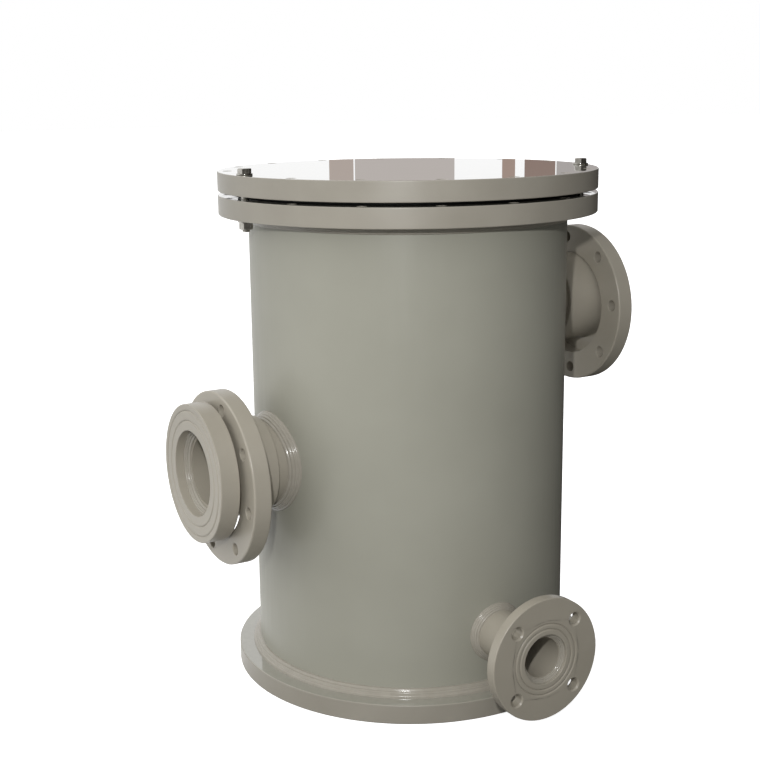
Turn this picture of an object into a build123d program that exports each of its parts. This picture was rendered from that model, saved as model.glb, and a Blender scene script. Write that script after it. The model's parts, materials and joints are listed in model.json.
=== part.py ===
from build123d import *
import os
from math import asin, degrees, sqrt

os.makedirs("parts", exist_ok=True)

# Basket strainer welded from polypropylene plate and pipe.
# Millimetres. +Z up. The origin is the centre of the base plate's underside.
# The inlet points along +X, the outlet along -X and the drain along -Y.

# Vessel
shell_od = 500.0
shell_wall = 12.0
base_plate_overhang = 35.0      # past the shell
base_plate_thickness = 30.0
body_flange_thickness = 30.0
plate_edge_chamfer = 1.0
vessel_weld_leg = 12.0          # fillet weld at the base plate and under the body flange
weld_crown = 1.5                # how far a weld's face stands out past a straight fillet, each way

# Lid fasteners, M12 stainless hexagon
bolt_diameter = 12.0
bolt_across_flats = 18.0
bolt_head_height = 7.5
nut_height = 10.8
nut_bore_clearance = 0.3        # on the radius, for the thread
washer_margin = 3.0             # past the flats of the head or nut
washer_thickness = 2.5
washer_bore_clearance = 0.5     # on the radius
bolt_projection = 3.4           # bolt end past the nut
hexagon_corner_cut = 1.0

# Lid joint
lid_thickness = 30.0
lid_hole_count = 16
lid_hole_clearance = 1.0        # on the radius, round the bolt
washer_weld_gap = 6.0           # between a nut's washer and the weld under the flange
lid_hole_edge = 16.0            # hole centres in from the edge of flange and lid
gasket_thickness = 6.0
gasket_bore_step = 4.0          # gasket's bore outside the shell's bore
gasket_hole_gap = 8.0           # gasket's edge in from the holes
lid_bolt_holes = {"left": 8, "right": 15}   # the only two bolts fitted, by hole, counted from +X

# Main nozzles: pipe, stub end with grooved face, loose backing ring
main_pipe_od = 130.0
main_pipe_wall = 13.0
main_neck_wall = 9.0            # of the stub end, over the pipe
main_neck_weld_gap = 9.0        # bare pipe between the vessel's weld and the neck
main_collar_step = 31.0         # collar's edge outside the neck
main_pipe_recess = 22.0         # pipe end behind the collar's face
main_weld_leg = 13.0
main_inner_weld_leg = 9.0
main_groove_insets = (10.0, 25.0)   # V grooves in from the collar's edge
neck_root_chamfer = 3.0
ring_neck_gap = 13.0            # ring's bore round the neck, on the radius
ring_thickness = 28.0
ring_bolt_collar_gap = 7.5      # hole centres outside the collar
ring_hole_edge = 20.0           # hole centres in from the ring's edge
ring_hole_count = 8
ring_hole_diameter = 18.0
ring_edge_chamfer = 2.0
ring_hang_clearance = 0.3       # kept between the ring's bore and the neck it hangs on

# Where the nozzles are
outlet_z = 364.0
outlet_projection = 131.0       # collar face from the shell
outlet_collar_thickness = 30.0
outlet_ring_gap = 9.0           # ring's front behind the collar
outlet_ring_turn = -13.5
seat_above_outlet = 41.0        # seat's top above the outlet pipe
inlet_above_seat = 37.0         # inlet pipe above the seat's top
inlet_projection = 122.0
inlet_collar_thickness = 14.0
inlet_ring_gap = 3.5
inlet_ring_turn = -4.0
inlet_headroom = 128.0          # from the inlet pipe to the top of the body flange

# Drain nozzle with a fixed flange
drain_z = 116.0
drain_projection = 120.0
drain_pipe_od = 75.0
drain_pipe_wall = 7.0
drain_flange_thickness = 17.0
drain_hole_pipe_gap = 35.0      # hole centres outside the pipe
drain_hole_edge = 20.0          # hole centres in from the flange's edge
drain_hole_count = 4
drain_hole_diameter = 18.0
drain_pipe_recess = 10.0
drain_weld_leg = 9.0
drain_inner_weld_leg = 6.0
drain_groove_steps = (17.5, 8.5)    # V grooves outside the pipe
groove_width = 3.0
groove_depth = 1.6
flange_edge_chamfer = 1.2

# Basket seat inside the shell
seat_thickness = 15.0
seat_basket_gap = 6.0           # seat's bore round the basket, on the radius
seat_weld_leg = 8.0

# Basket
basket_shell_gap = 38.0         # between basket and shell
basket_wall = 6.0
basket_depth = 290.0            # from the seat down to the basket's underside
rim_shell_gap = 13.0
basket_rim_thickness = 12.0
basket_bottom_thickness = 10.0
slot_width = 12.0
slot_columns = 20
slot_rows = 3
slot_bridge = 14.0              # wall left between one row of slots and the next
slot_end_land = 18.0            # wall left above and below the rows
bottom_slot_width = 10.0
bottom_slot_counts = (8, 20)    # in the inner and the outer ring
bottom_slot_bridge = 23.0       # between the rings
bottom_slot_land = 39.0         # from the outer ring to the bottom's edge
bottom_centre_land = 34.0       # radius left whole in the middle

# Lifting bail
bail_rod_diameter = 18.0
bail_eye_diameter = 22.0
bail_floor_clearance = 0.4      # under the eye, above the rim
lug_width = 36.0
lug_thickness = 7.0
lug_side_clearance = 1.5        # between a lug and the bail
lug_edge_inset = 0.5
lug_top_land = 14.0             # lug material above the pin's centre
pin_diameter = 10.0
pin_running_clearance = 0.05    # on the radius, in the bail's eye
pin_head_diameter = 18.0
pin_head_thickness = 3.0
pin_end_clearance = 0.4

# Sizes that follow from the ones above
shell_r = shell_od / 2
shell_inner_r = shell_r - shell_wall
base_plate_r = shell_r + base_plate_overhang
washer_r = bolt_across_flats / 2 + washer_margin
lid_hole_r = bolt_diameter / 2 + lid_hole_clearance
lid_bolt_circle_r = shell_r + vessel_weld_leg + washer_weld_gap + washer_r
top_plate_r = lid_bolt_circle_r + lid_hole_edge         # body flange and lid
gasket_bore_r = shell_inner_r + gasket_bore_step
gasket_r = lid_bolt_circle_r - lid_hole_r - gasket_hole_gap
main_pipe_r = main_pipe_od / 2
neck_r = main_pipe_r + main_neck_wall
neck_start = shell_r + main_weld_leg + main_neck_weld_gap
collar_r = neck_r + main_collar_step
ring_bore_r = neck_r + ring_neck_gap
ring_bolt_circle_r = collar_r + ring_bolt_collar_gap
ring_r = ring_bolt_circle_r + ring_hole_edge
ring_drop = ring_neck_gap - ring_hang_clearance
drain_pipe_r = drain_pipe_od / 2
drain_bolt_circle_r = drain_pipe_r + drain_hole_pipe_gap
drain_flange_r = drain_bolt_circle_r + drain_hole_edge
drain_reach = shell_r + drain_projection
basket_r = shell_inner_r - basket_shell_gap
basket_inner_r = basket_r - basket_wall
rim_r = shell_inner_r - rim_shell_gap

# Heights that follow
seat_top_z = outlet_z + main_pipe_r + seat_above_outlet
inlet_z = seat_top_z + inlet_above_seat + main_pipe_r
flange_top_z = inlet_z + main_pipe_r + inlet_headroom   # also the shell's top
flange_bottom_z = flange_top_z - body_flange_thickness
lid_bottom_z = flange_top_z + gasket_thickness
lid_top_z = lid_bottom_z + lid_thickness
rim_top_z = seat_top_z + basket_rim_thickness
basket_bottom_z = seat_top_z - basket_depth
basket_wall_z = basket_bottom_z + basket_bottom_thickness
slot_length = (seat_top_z - basket_wall_z - 2 * slot_end_land - (slot_rows - 1) * slot_bridge) / slot_rows
bottom_slot_length = (basket_r - bottom_slot_land - bottom_slot_bridge - bottom_centre_land) / 2

# Where the bail turns
pin_z = rim_top_z + bail_floor_clearance + bail_eye_diameter / 2
lug_inner_y = basket_inner_r + lug_edge_inset
lug_outer_y = lug_inner_y + lug_thickness
bail_arc_radius = lug_outer_y + lug_side_clearance + bail_rod_diameter / 2
bail_outer_y = bail_arc_radius + bail_rod_diameter / 2


def disc(radius, z_low, z_high):
    # Upright round bar between two heights.
    return Pos(0, 0, z_low) * Cylinder(radius, z_high - z_low, align=(Align.CENTER, Align.CENTER, Align.MIN))


def hollow_disc(radius, bore_radius, z_low, z_high):
    return disc(radius, z_low, z_high) - disc(bore_radius, z_low - 1, z_high + 1)


def turned(points):
    # Solid of revolution about Z from (radius, height) corners.
    outline = Polyline(*[(r, 0, z) for r, z in points], close=True)
    return revolve(make_face(outline.edges()), Axis.Z)


def along(angle, height, piece):
    # Lays a piece built along +Z on the nozzle axis at this angle and height.
    return Pos(0, 0, height) * Rot(0, 0, angle) * Rot(0, 90, 0) * piece


def hole_circle(circle_r, count, hole_r, z_low, z_high, turn=0.0):
    # Drills on a bolt circle, as one group of round bars to cut away.
    drill = Pos(circle_r, 0, 0) * disc(hole_r, z_low - 1, z_high + 1)
    return [Rot(0, 0, turn + 360 * i / count) * drill for i in range(count)]


def fillet_weld(corner_r, corner_z, leg, away_r, away_z):
    # Ring of weld in an inside corner, with a crowned face.
    # away_r and away_z are +1 or -1, the way the two legs run from the corner.
    middle = leg / 2 + weld_crown
    return turned([
        (corner_r, corner_z),
        (corner_r + away_r * leg, corner_z),
        (corner_r + away_r * middle, corner_z + away_z * middle),
        (corner_r, corner_z + away_z * leg),
    ])


def saddle_weld(angle, height, pipe_r, leg):
    # Weld where a pipe meets the round shell: two steps that follow both surfaces.
    steps = ((leg / 2 - weld_crown / 2, leg), (leg, leg / 2 + weld_crown / 2))
    reach = shell_r + 2 * leg
    low = height - pipe_r - 2 * leg
    high = height + pipe_r + 2 * leg
    weld = disc(shell_r, low, high)
    for up, out in steps:
        weld += disc(shell_r + up, low, high) & along(angle, height, disc(pipe_r + out, 0, reach))
    weld -= disc(shell_r, low - 1, high + 1)
    return weld - along(angle, height, disc(pipe_r, 0, reach + 1))


def set_in_pipe(angle, height, pipe_r, wall, end):
    # Pipe from the shell's inner face out to end, measured from the vessel's axis.
    pipe = along(angle, height, hollow_disc(pipe_r, pipe_r - wall, 0, end))
    return pipe - disc(shell_inner_r, height - 2 * pipe_r, height + 2 * pipe_r)


def face_grooves(radii, face):
    # V grooves turned in a joint face, as rings to cut away.
    half = groove_width / 2
    return [turned([(r - half, face), (r, face - groove_depth), (r + half, face)]) for r in radii]


def hexagon(across_flats, thickness):
    prism = extrude(RegularPolygon(across_flats / 2, 6, major_radius=False), thickness)
    corner_r = across_flats / sqrt(3)
    cut = hexagon_corner_cut
    flat_r = corner_r - 2 * cut
    lathe = turned([(0, 0), (corner_r, 0), (corner_r, thickness - cut), (flat_r, thickness), (0, thickness)])
    return prism & lathe


# Vessel pieces

def make_base_plate():
    plate = disc(base_plate_r, 0, base_plate_thickness)
    return chamfer(plate.edges().filter_by(GeomType.CIRCLE), plate_edge_chamfer)


def make_vessel_shell():
    shell = hollow_disc(shell_r, shell_inner_r, base_plate_thickness, flange_top_z)
    for angle, height, pipe_r in (
        (0, inlet_z, main_pipe_r),
        (180, outlet_z, main_pipe_r),
        (270, drain_z, drain_pipe_r),
    ):
        shell -= along(angle, height, disc(pipe_r, 0, shell_od))
    return shell


def make_body_flange():
    flange = hollow_disc(top_plate_r, shell_r, flange_bottom_z, flange_top_z)
    rim_edges = flange.edges().filter_by(GeomType.CIRCLE).group_by(SortBy.RADIUS)[-1]
    flange = chamfer(rim_edges, plate_edge_chamfer)
    return flange - hole_circle(lid_bolt_circle_r, lid_hole_count, lid_hole_r, flange_bottom_z, flange_top_z)


def make_seat():
    return hollow_disc(shell_inner_r, basket_r + seat_basket_gap, seat_top_z - seat_thickness, seat_top_z)


# Nozzle pieces, turned about Z with the face at the given reach

def make_stub_end(reach, thickness):
    back = reach - thickness
    root = neck_root_chamfer
    collar = turned([
        (main_pipe_r, neck_start),
        (neck_r, neck_start),
        (neck_r, back),
        (collar_r, back),
        (collar_r, reach),
        (main_pipe_r, reach),
    ])
    sharp = collar.edges().filter_by(GeomType.CIRCLE).group_by(SortBy.RADIUS)[-1]
    collar = chamfer(sharp, flange_edge_chamfer)
    collar += turned([(neck_r, back), (neck_r, back - root), (neck_r + root, back)])
    return collar - face_grooves([collar_r - inset for inset in main_groove_insets], reach)


def make_backing_ring(front, turn):
    back = front - ring_thickness
    ring = hollow_disc(ring_r, ring_bore_r, back, front)
    rim_edges = ring.edges().filter_by(GeomType.CIRCLE).group_by(SortBy.RADIUS)[-1]
    ring = chamfer(rim_edges, ring_edge_chamfer)
    return ring - hole_circle(ring_bolt_circle_r, ring_hole_count, ring_hole_diameter / 2, back, front, turn)


def make_drain_flange():
    back = drain_reach - drain_flange_thickness
    flange = hollow_disc(drain_flange_r, drain_pipe_r, back, drain_reach)
    rim_edges = flange.edges().filter_by(GeomType.CIRCLE).group_by(SortBy.RADIUS)[-1]
    flange = chamfer(rim_edges, flange_edge_chamfer)
    hole_r = drain_hole_diameter / 2
    half_pitch = 180 / drain_hole_count
    flange -= hole_circle(drain_bolt_circle_r, drain_hole_count, hole_r, back, drain_reach, half_pitch)
    return flange - face_grooves([drain_pipe_r + step for step in drain_groove_steps], drain_reach)


# Basket pieces

def make_basket_wall():
    # Upright milled slots in staggered rows, through a plain tube.
    wall = hollow_disc(basket_r, basket_inner_r, basket_wall_z, seat_top_z)
    slot = Pos(basket_r, 0, 0) * Box(4 * basket_wall, slot_width, slot_length)
    pitch = slot_length + slot_bridge
    lowest = basket_wall_z + slot_end_land + slot_length / 2
    slots = []
    for row in range(slot_rows):
        stagger = 180 / slot_columns if row % 2 else 0
        for column in range(slot_columns):
            turn = Rot(0, 0, stagger + 360 * column / slot_columns)
            slots.append(Pos(0, 0, lowest + row * pitch) * turn * slot)
    return wall - slots


def make_basket_bottom():
    # Radial milled slots in two rings, through a round plate.
    bottom = disc(basket_r, basket_bottom_z, basket_wall_z)
    slot = Box(bottom_slot_length, bottom_slot_width, 4 * basket_bottom_thickness)
    middle = bottom_centre_land + bottom_slot_length / 2
    slots = []
    for ring, count in enumerate(bottom_slot_counts):
        out = middle + ring * (bottom_slot_length + bottom_slot_bridge)
        cutter = Pos(out, 0, basket_bottom_z) * slot
        slots += [Rot(0, 0, 360 * i / count) * cutter for i in range(count)]
    return bottom - slots


def make_basket_rim():
    return hollow_disc(rim_r, basket_inner_r, seat_top_z, rim_top_z)


def make_lugs():
    # Two upright lugs on the rim, drilled for the bail's pins.
    lugs = []
    for side in (1, -1):
        plate = Pos(0, 0, (rim_top_z + pin_z) / 2) * Box(lug_width, lug_thickness, pin_z - rim_top_z)
        crown = Pos(0, 0, pin_z) * Rot(90, 0, 0) * Cylinder(lug_width / 2, lug_thickness)
        crown &= Pos(0, 0, pin_z + lug_top_land / 2) * Box(lug_width, lug_thickness, lug_top_land)
        lug = plate + crown - Pos(0, 0, pin_z) * Rot(90, 0, 0) * Cylinder(pin_diameter / 2, lug_thickness * 2)
        lugs.append(Pos(0, side * (lug_inner_y + lug_outer_y) / 2, 0) * lug)
    return lugs


def make_bail():
    # Half hoop of round rod that folds down on the rim, with an eye at each end.
    start = bail_eye_diameter / 2
    lead = degrees(asin(start * 0.6 / bail_arc_radius))
    hoop = CenterArc((0, 0, pin_z), bail_arc_radius, -90 + lead, 180 - 2 * lead)
    section = Plane(origin=hoop @ 0, z_dir=hoop % 0) * Circle(bail_rod_diameter / 2)
    bail = sweep(section, path=hoop)
    for side in (1, -1):
        centre = Pos(0, side * bail_arc_radius, pin_z) * Rot(90, 0, 0)
        bail += centre * Cylinder(bail_eye_diameter / 2, bail_rod_diameter)
    for side in (1, -1):
        centre = Pos(0, side * bail_arc_radius, pin_z) * Rot(90, 0, 0)
        bail -= centre * Cylinder(pin_diameter / 2 + pin_running_clearance, bail_rod_diameter * 2)
    return bail


def make_bail_pins():
    # Headed pins pressed in the lugs, their heads outside the bail's eyes.
    pins = []
    head_y = bail_outer_y + pin_end_clearance
    for side in (1, -1):
        stem = disc(pin_diameter / 2, lug_inner_y, head_y)
        head = disc(pin_head_diameter / 2, head_y, head_y + pin_head_thickness)
        pins.append(Pos(0, 0, pin_z) * Rot(-90 * side, 0, 0) * (stem + head))
    return pins


# Lid fasteners, each on its place on the bolt circle

def at_bolt(hole, piece):
    return Rot(0, 0, 360 * hole / lid_hole_count) * Pos(lid_bolt_circle_r, 0, 0) * piece


def make_lid_bolt():
    seat = lid_top_z + washer_thickness
    tip = flange_bottom_z - washer_thickness - nut_height - bolt_projection
    shank = chamfer(disc(bolt_diameter / 2, tip, seat).edges().group_by(Axis.Z)[0], 1)
    return shank + Pos(0, 0, seat) * hexagon(bolt_across_flats, bolt_head_height)


def make_washer(z_low):
    return hollow_disc(washer_r, bolt_diameter / 2 + washer_bore_clearance, z_low, z_low + washer_thickness)


def make_nut():
    top = flange_bottom_z - washer_thickness
    nut = Pos(0, 0, top) * Rot(180, 0, 0) * hexagon(bolt_across_flats, nut_height)
    return nut - disc(bolt_diameter / 2 + nut_bore_clearance, top - nut_height - 1, top + 1)


def make_lid():
    lid = disc(top_plate_r, lid_bottom_z, lid_top_z)
    lid = chamfer(lid.edges().filter_by(GeomType.CIRCLE), plate_edge_chamfer)
    return lid - hole_circle(lid_bolt_circle_r, lid_hole_count, lid_hole_r, lid_bottom_z, lid_top_z)


# Every node by name
nodes = {
    "base_plate": make_base_plate(),
    "vessel_shell": make_vessel_shell(),
    "base_weld": fillet_weld(shell_r, base_plate_thickness, vessel_weld_leg, 1, 1),
    "body_flange": make_body_flange(),
    "flange_weld": fillet_weld(shell_r, flange_bottom_z, vessel_weld_leg, 1, -1),
    "basket_seat": make_seat(),
    "seat_weld": fillet_weld(shell_inner_r, seat_top_z - seat_thickness, seat_weld_leg, -1, -1),
    "lid_gasket": hollow_disc(gasket_r, gasket_bore_r, flange_top_z, lid_bottom_z),
    "lid": make_lid(),
    "basket_rim": make_basket_rim(),
    "basket_wall": make_basket_wall(),
    "basket_bottom": make_basket_bottom(),
    "bail_lugs": make_lugs(),
    "bail_pins": make_bail_pins(),
    "lifting_bail": make_bail(),
}

for name, angle, height, projection, thickness, gap, turn in (
    ("inlet", 0, inlet_z, inlet_projection, inlet_collar_thickness, inlet_ring_gap, inlet_ring_turn),
    ("outlet", 180, outlet_z, outlet_projection, outlet_collar_thickness, outlet_ring_gap, outlet_ring_turn),
):
    reach = shell_r + projection
    pipe_end = reach - main_pipe_recess
    ring_front = reach - thickness - gap
    nodes[name + "_pipe"] = set_in_pipe(angle, height, main_pipe_r, main_pipe_wall, pipe_end)
    nodes[name + "_weld"] = saddle_weld(angle, height, main_pipe_r, main_weld_leg)
    nodes[name + "_stub_end"] = along(angle, height, make_stub_end(reach, thickness))
    inner_weld = fillet_weld(main_pipe_r, pipe_end, main_inner_weld_leg, -1, 1)
    nodes[name + "_inner_weld"] = along(angle, height, inner_weld)
    nodes[name + "_backing_ring"] = along(angle, height - ring_drop, make_backing_ring(ring_front, turn))

drain_pipe_end = drain_reach - drain_pipe_recess
nodes["drain_pipe"] = set_in_pipe(270, drain_z, drain_pipe_r, drain_pipe_wall, drain_pipe_end)
nodes["drain_weld"] = saddle_weld(270, drain_z, drain_pipe_r, drain_weld_leg)
nodes["drain_flange"] = along(270, drain_z, make_drain_flange())
inner_weld = fillet_weld(drain_pipe_r, drain_pipe_end, drain_inner_weld_leg, -1, 1)
nodes["drain_inner_weld"] = along(270, drain_z, inner_weld)

for side, hole in lid_bolt_holes.items():
    nodes["lid_bolt_" + side] = at_bolt(hole, make_lid_bolt())
    nodes["bolt_washer_" + side] = at_bolt(hole, make_washer(lid_top_z))
    nodes["lid_nut_" + side] = at_bolt(hole, make_nut())
    nodes["nut_washer_" + side] = at_bolt(hole, make_washer(flange_bottom_z - washer_thickness))

for name, piece in nodes.items():
    if isinstance(piece, list):
        piece = Compound(children=[solid for item in piece for solid in item.solids()])
    export_step(piece, "parts/" + name + ".step")
    print(name, len(piece.solids()))
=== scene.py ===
import json
import math

import bpy
import numpy as np
from mathutils import Matrix, Vector


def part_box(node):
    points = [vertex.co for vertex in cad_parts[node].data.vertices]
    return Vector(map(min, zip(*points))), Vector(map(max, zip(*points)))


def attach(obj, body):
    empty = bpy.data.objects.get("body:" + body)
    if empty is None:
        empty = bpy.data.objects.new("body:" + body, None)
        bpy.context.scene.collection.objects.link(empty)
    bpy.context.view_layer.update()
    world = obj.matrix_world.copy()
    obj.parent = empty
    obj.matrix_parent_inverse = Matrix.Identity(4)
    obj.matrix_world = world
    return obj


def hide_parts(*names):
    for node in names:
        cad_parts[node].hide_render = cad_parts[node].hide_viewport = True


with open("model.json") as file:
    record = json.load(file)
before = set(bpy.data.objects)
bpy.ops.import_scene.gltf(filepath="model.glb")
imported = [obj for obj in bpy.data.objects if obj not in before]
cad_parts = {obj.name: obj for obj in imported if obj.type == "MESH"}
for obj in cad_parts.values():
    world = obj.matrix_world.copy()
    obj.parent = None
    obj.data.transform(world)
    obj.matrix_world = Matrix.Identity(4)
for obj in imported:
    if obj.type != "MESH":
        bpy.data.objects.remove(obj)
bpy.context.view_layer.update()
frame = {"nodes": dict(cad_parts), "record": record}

print("frame loaded:", len(frame["nodes"]), "nodes")

mm = 0.001
turn = 2 * math.pi


def cad(node):
    # lowest and highest corner of a CAD node, in millimetres
    low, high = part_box(node)
    return np.array(low) / mm, np.array(high) / mm


# Sizes taken from the frame, in millimetres; the shell's wall can't be read from its box
shellLow, shellHigh = cad("vessel_shell")
plateLow, plateHigh = cad("base_plate")
flangeLow = cad("body_flange")[0]
shellR = (shellHigh[0] - shellLow[0]) / 2
shellWall = 12.0
shellInnerR = shellR - shellWall


# Mesh making

def gridFaces(rows, columns, wrapRows=False, wrapColumns=False):
    # quads of a rows x columns grid of points, closed round either way if asked
    r = np.arange(rows if wrapRows else rows - 1)
    c = np.arange(columns if wrapColumns else columns - 1)
    i, j = [a.ravel() for a in np.meshgrid(r, c, indexing="ij")]
    i1, j1 = (i + 1) % rows, (j + 1) % columns
    return np.stack([i * columns + j, i * columns + j1, i1 * columns + j1, i1 * columns + j], 1)


def grid(points, wrapRows=False, wrapColumns=False, flip=False):
    # a (rows, columns, 3) array of points as one patch: its points and its quads
    faces = gridFaces(points.shape[0], points.shape[1], wrapRows, wrapColumns)
    return points.reshape(-1, 3), faces[:, ::-1] if flip else faces


def makeMesh(name, patches, place=None, smooth=40.0):
    # joins patches given in millimetres, welds points that meet, and makes the object in metres
    points, faces, start = [], [], 0
    for p, f in patches:
        points.append(p)
        faces.append(f + start)
        start += len(p)
    points, faces = np.concatenate(points) * mm, np.concatenate(faces)
    if place is not None:
        points = points @ place[:3, :3].T + place[:3, 3]
    keysPerMetre, offset = 1e6, 0.2137      # the offset keeps round sizes off a step between keys
    keys = np.floor(points * keysPerMetre + offset).astype(np.int64)
    keys, first, back = np.unique(keys, axis=0, return_index=True, return_inverse=True)
    points, faces = points[first], back.reshape(-1)[faces]
    same = faces == np.roll(faces, -1, axis=1)
    whole = faces[~same.any(1)]
    once = same.sum(1) == 1
    part = faces[once][~same[once]].reshape(-1, 3)
    loops = np.concatenate([whole.ravel(), part.ravel()])
    sizes = np.concatenate([np.full(len(whole), 4), np.full(len(part), 3)])
    mesh = bpy.data.meshes.new(name)
    mesh.vertices.add(len(points))
    mesh.vertices.foreach_set("co", points.astype(np.float32).ravel())
    mesh.loops.add(len(loops))
    mesh.loops.foreach_set("vertex_index", loops.astype(np.int32))
    mesh.polygons.add(len(sizes))
    mesh.polygons.foreach_set("loop_start", (np.cumsum(sizes) - sizes).astype(np.int32))
    mesh.polygons.foreach_set("use_smooth", np.ones(len(sizes), bool))
    mesh.update(calc_edges=True)
    mesh.validate()
    mesh.set_sharp_from_angle(angle=math.radians(smooth))
    piece = bpy.data.objects.new(name, mesh)
    bpy.context.scene.collection.objects.link(piece)
    return piece


def dress(piece, body, material, slot, *nodes):
    # gives a piece its body, its finish and the CAD nodes that it stands for
    piece.data.materials.append(material)
    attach(piece, body)
    if nodes:
        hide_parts(*nodes)
    return piece


def nozzlePlace(node, height):
    # turns a piece made along +Z so that it points the way the nozzle does
    low, high = cad(node)
    centre = (low + high) / 2
    reach = centre[:2] / np.linalg.norm(centre[:2])
    z = np.array([reach[0], reach[1], 0.0])
    x = np.array([0.0, 0.0, -1.0])
    place = np.eye(4)
    place[:3, :3] = np.stack([x, np.cross(z, x), z], 1)
    place[2, 3] = height * mm
    return place


def roundCorners(corners, radii, steps=4, landShare=0.3, landMost=0.4):
    # a path of (radius, height) corners with an arc of the given radius at each; an arc's two ends get a
    # point close beside them, so that flat faces stay flat in shading
    corners = np.array(corners, float)
    path = [corners[:1]]
    for i in range(1, len(corners) - 1):
        if radii[i] <= 0:
            path.append(corners[i:i + 1])
            continue
        a, b = corners[i - 1] - corners[i], corners[i + 1] - corners[i]
        a, b = a / np.linalg.norm(a), b / np.linalg.norm(b)
        half = math.acos(np.clip(a @ b, -1, 1)) / 2
        cut = radii[i] / math.tan(half)
        centre = corners[i] + (a + b) / np.linalg.norm(a + b) * radii[i] / math.sin(half)
        start, end = corners[i] + a * cut - centre, corners[i] + b * cut - centre
        t = np.linspace(0, 1, steps + 1)[:, None]
        arc = start * np.sin((1 - t) * (math.pi - 2 * half)) + end * np.sin(t * (math.pi - 2 * half))
        arc = centre + arc / math.sin(math.pi - 2 * half)
        land = min(radii[i] * landShare, landMost)
        path += [(corners[i] + a * (cut + land))[None], arc, (corners[i] + b * (cut + land))[None]]
    path.append(corners[-1:])
    return np.concatenate(path)


def onCircle(r, angle, z):
    # points at a radius, an angle round Z and a height
    return np.stack(np.broadcast_arrays(r * np.cos(angle), r * np.sin(angle), z), -1)


def turned(path, columns=128, flip=False):
    # a (radius, height) path carried round Z; the path runs so that its left side is the inside
    angle = np.arange(columns) / columns * turn
    r, z = path[:, 0][:, None], path[:, 1][:, None]
    return grid(onCircle(r, angle, z), wrapColumns=True, flip=flip)


def groovedFace(outerR, innerR, z, grooves, width=3.0, depth=1.6, lip=0.12, beside=0.62):
    # a flat face from outside in, with V grooves at the given radii; the points at the lip and close beside
    # it keep the face flat in shading
    half, near = width / 2, width * beside
    section = ((width, 0), (near, 0), (half, lip), (0, depth), (-half, lip), (-near, 0), (-width, 0))
    path = [(outerR, z)]
    for g in sorted(grooves, reverse=True):
        path += [(g + across, z - fall) for across, fall in section]
    return path + [(innerR, z)]


def spun(points, angle):
    # points turned about Z
    c, s = math.cos(angle), math.sin(angle)
    return points @ np.array([[c, s, 0], [-s, c, 0], [0, 0, 1]])


def onSide(patch, y, z, side):
    # lays a patch made along +Z along Y instead, from this y and height outwards on side +1 or -1
    points, faces = patch
    points = np.stack([points[:, 0] * side, y + points[:, 2] * side, z - points[:, 1]], 1)
    return points, faces


def joined(sides):
    # (x, y) rows of points, one side after another; a side's x or y can be one number
    return np.concatenate([np.stack(np.broadcast_arrays(x, y), 1) for x, y in sides])


def blockEdge(x, y):
    # the points round a rectangle whose sides are divided at x and y, anticlockwise from its lowest corner
    return joined([(x[:-1], y[0]), (x[-1], y[:-1]), (x[:0:-1], y[-1]), (x[0], y[:0:-1])])


def slotEdge(half, length, middle, ends, sides):
    # the points round a slot as (across, along): half circle, straight side, half circle, straight side
    t = np.linspace(0, math.pi, ends + 1)[:-1]
    straight = np.linspace(-length / 2 + half, length / 2 - half, sides + 1)
    return joined([
        (-half * np.cos(t), middle - length / 2 + half - half * np.sin(t)),
        (half, middle + straight[:-1]),
        (half * np.cos(t), middle + length / 2 - half + half * np.sin(t)),
        (-half, middle + straight[:0:-1])])


drilling = {"columns": 192, "across": 6, "clear": 1.5, "band": 2.2, "land": 0.8, "foot": 1.6,
            "wallEdges": [0, 0.25, 0.4, 0.8, 0], "shares": (0.0, 0.5, 0.85, 1.0)}


def drilledPlate(outerR, boreR, low, high, holes, edge, top=(), boreEdge=0.4, s=drilling):
    # A round plate with a circle of holes. Each hole has one sector of a ring-shaped band: rings of points
    # pass from the sector's four-sided edge to the round hole, as (1 - t) edge + t circle. Inside and
    # outside the band the plate is plain turning on the same columns, so that every edge meets.
    count, boltR, holeR, mouth = holes["count"], holes["boltR"], holes["holeR"], holes["mouth"]
    perHole = max(6, s["columns"] // count // 2 * 2)
    columns = perHole * count
    band = min(outerR - edge * s["clear"] - boltR, holes.get("band", holeR * s["band"]))
    inner, outer = boltR - band, boltR + band
    half = math.pi / count
    border = blockEdge(np.linspace(-half, half, perHole + 1), np.linspace(inner, outer, s["across"] + 1))
    border = onCircle(border[:, 1], border[:, 0], 0)[:, :2]
    middle = np.array([boltR, 0.0])
    spin = np.arctan2(border[:, 1], border[:, 0] - boltR)
    circle = np.stack([np.cos(spin), np.sin(spin)], 1)
    corners = [(holeR + mouth + s["land"], high), (holeR + mouth, high), (holeR, high - mouth), (holeR, low),
               (holeR + s["foot"], low)]
    wall = roundCorners(corners, s["wallEdges"], 3)
    steps = [(t, *wall[0]) for t in s["shares"]] + [(1.0, *point) for point in wall[1:-1]]
    steps += [(t, *wall[-1]) for t in s["shares"][::-1]]
    sector = np.stack([np.column_stack([border * (1 - t) + (middle + circle * r) * t, np.full(len(spin), z)])
                       for t, r, z in steps])
    first = math.radians(holes["turn"])
    patches = [grid(spun(sector, first + i * 2 * half), wrapColumns=True, flip=True) for i in range(count)]
    rim = roundCorners([(outer, low), (outerR, low), (outerR, high), (outer, high)], [0, edge, edge, 0])
    core = [(inner, high)] + list(top) + [(boreR, high), (boreR, low), (inner, low)]
    radii = [0] * (1 + len(top)) + ([boreEdge] * 2 if boreR > 0 else [0, 0]) + [0]
    for path in (rim, roundCorners(core, radii)):
        points, faces = turned(path, columns)
        patches.append((spun(points, first - half), faces))
    return patches


# Materials

def linear(hexColour):
    # sRGB hex to linear RGBA
    value = np.array([int(hexColour[i:i + 2], 16) / 255 for i in (1, 3, 5)])
    value = np.where(value <= 0.04045, value / 12.92, ((value + 0.055) / 1.055) ** 2.4)
    return (*[float(v) for v in value], 1.0)


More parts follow.
